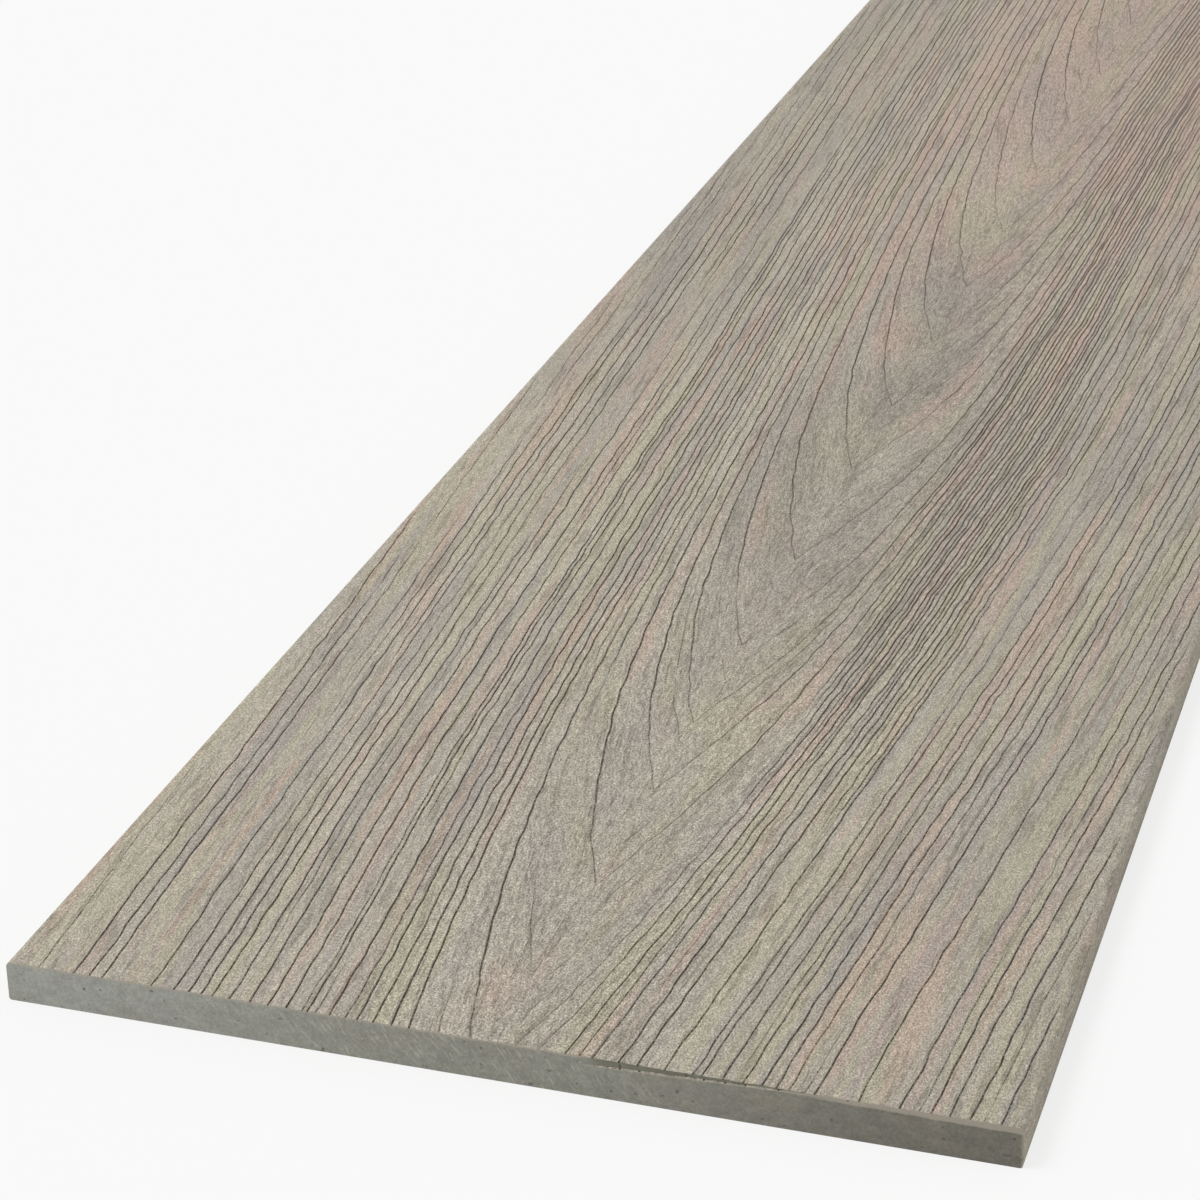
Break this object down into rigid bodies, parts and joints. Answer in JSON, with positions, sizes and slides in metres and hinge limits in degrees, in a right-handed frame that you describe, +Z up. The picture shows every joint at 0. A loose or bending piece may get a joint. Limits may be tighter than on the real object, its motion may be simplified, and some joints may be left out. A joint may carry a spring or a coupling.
{
  "type": "composite deck board",
  "caption": "Wide thin wood-grain composite deck board in the fascia format: a straight solid plank with eased long edges and square sawn ends.",
  "frame": {"origin": "middle of the board's back, which is the underside that it lies on", "axes": "+X across the width, +Y along the length away from the sawn end in the foreground, +Z up out of the embossed show face"},
  "size_m": [0.2984, 3.6576, 0.0127],
  "materials": {
    "capped_composite": "matte, embossed with a flat-sawn wood grain, weathered taupe with soft beige, pink and blue-grey streaks"
  },
  "bodies": {
    "root": {"deck_board": "capped_composite"}
  },
  "joints": []
}
